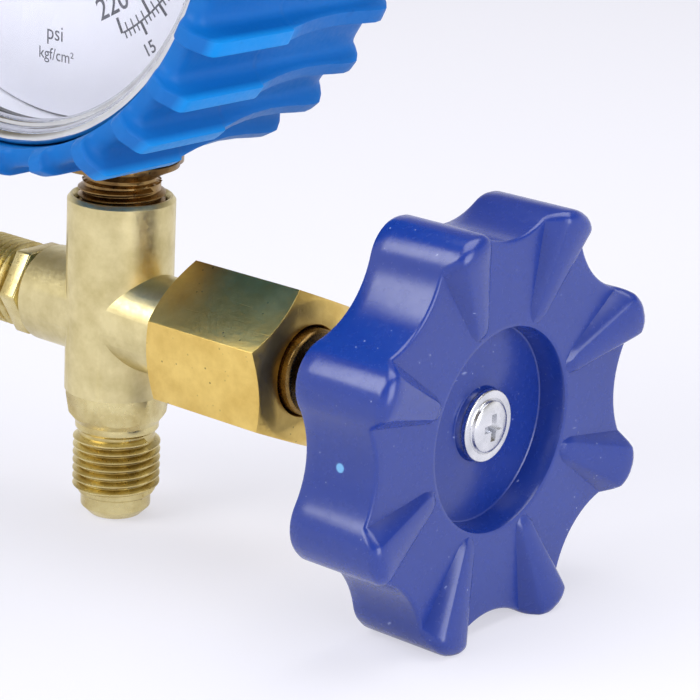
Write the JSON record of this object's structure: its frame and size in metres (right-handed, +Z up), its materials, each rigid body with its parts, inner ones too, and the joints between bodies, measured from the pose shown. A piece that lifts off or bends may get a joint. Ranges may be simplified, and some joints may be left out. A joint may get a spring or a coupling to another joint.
{
  "type": "refrigerant manifold gauge",
  "caption": "Single-gauge refrigerant valve: brass cross body with flare ports, multi-turn handwheel valve and a pressure gauge in a rubber boot.",
  "frame": {"origin": "centre of the nose end of the lower flare, on the upright axis of the body and the gauge stem", "axes": "+X along the valve stem towards the handwheel, the dial faces -Y, +Z up from the lower flare to the gauge"},
  "size_m": [0.1021, 0.0488, 0.1248],
  "materials": {
    "brass": "machined",
    "brass_bonnet": "bright",
    "brass_socket": "tarnished",
    "movement_brass": "satin",
    "bronze": "satin",
    "steel": "brushed",
    "chrome": "polished",
    "blue_rubber": "matte",
    "blue_plastic": "glossy",
    "dial_white": "satin",
    "black_metal": "matte",
    "case_steel": "gloss",
    "clear_plastic": "clear",
    "black_rubber": "matte",
    "packing_white": "matte",
    "copper_washer": "satin"
  },
  "bodies": {
    "valve": {"cross_body": "brass", "bottom_flare_connector": "brass", "left_flare_connector": "brass", "hex_bonnet": "brass_bonnet", "bonnet_gasket": "copper_washer", "packing_washer": "brass", "stem_packing": "packing_white", "gland_nut": "brass", "gauge_socket": "brass_socket", "restrictor": "brass", "bourdon_tube": "bronze", "tube_tip": "bronze", "movement_back_plate": "movement_brass", "movement_front_plate": "movement_brass", "plate_pillars": "movement_brass", "movement_screws": "steel", "hairspring": "bronze", "dial_plate": "dial_white", "dial_screws": "steel", "pointer_stop": "steel", "gauge_case": "case_steel", "case_screws": "steel", "lens_gasket": "black_rubber", "lens": "clear_plastic", "bezel_ring": "chrome", "gauge_boot": "blue_rubber"},
    "stem": {"valve_spindle": "steel", "handwheel": "blue_plastic", "handwheel_screw": "steel"},
    "disc": {"seat_disc": "brass"},
    "sector": {"sector_gear": "movement_brass", "sector_arbor": "steel"},
    "link_arm": {"link": "movement_brass"},
    "pointer_body": {"pinion_arbor": "movement_brass", "pointer": "black_metal"}
  },
  "joints": [
    {"name": "stem_travel", "type": "slide", "parent": "valve", "child": "disc", "axis": [1, 0, 0], "range_m": [0, 0.003]},
    {"name": "handwheel_turn", "type": "hinge", "parent": "disc", "child": "stem", "pos_m": [0, 0, 0.0265], "axis": [-1, 0, 0], "range_deg": [0, 1080]},
    {"name": "sector_turn", "type": "hinge", "parent": "valve", "child": "sector", "pos_m": [0, -0.0072, 0.0735], "axis": [0, -1, 0], "range_deg": [-2.7, 40.6]},
    {"name": "pointer_turn", "type": "hinge", "parent": "valve", "child": "pointer_body", "pos_m": [0, -0.0125, 0.0855], "axis": [0, 1, 0], "range_deg": [-18.9, 284.2]},
    {"name": "link_turn", "type": "hinge", "parent": "sector", "child": "link_arm", "pos_m": [-0.00222, -0.0062, 0.06739], "axis": [0, -1, 0], "range_deg": [-40.6, 2.7]}
  ],
  "couplings": [
    {"joint": "stem_travel", "follows": "handwheel_turn", "m_per_rad": 0.00015915},
    {"joint": "pointer_turn", "follows": "sector_turn", "ratio": 7},
    {"joint": "link_turn", "follows": "sector_turn", "ratio": -1}
  ]
}
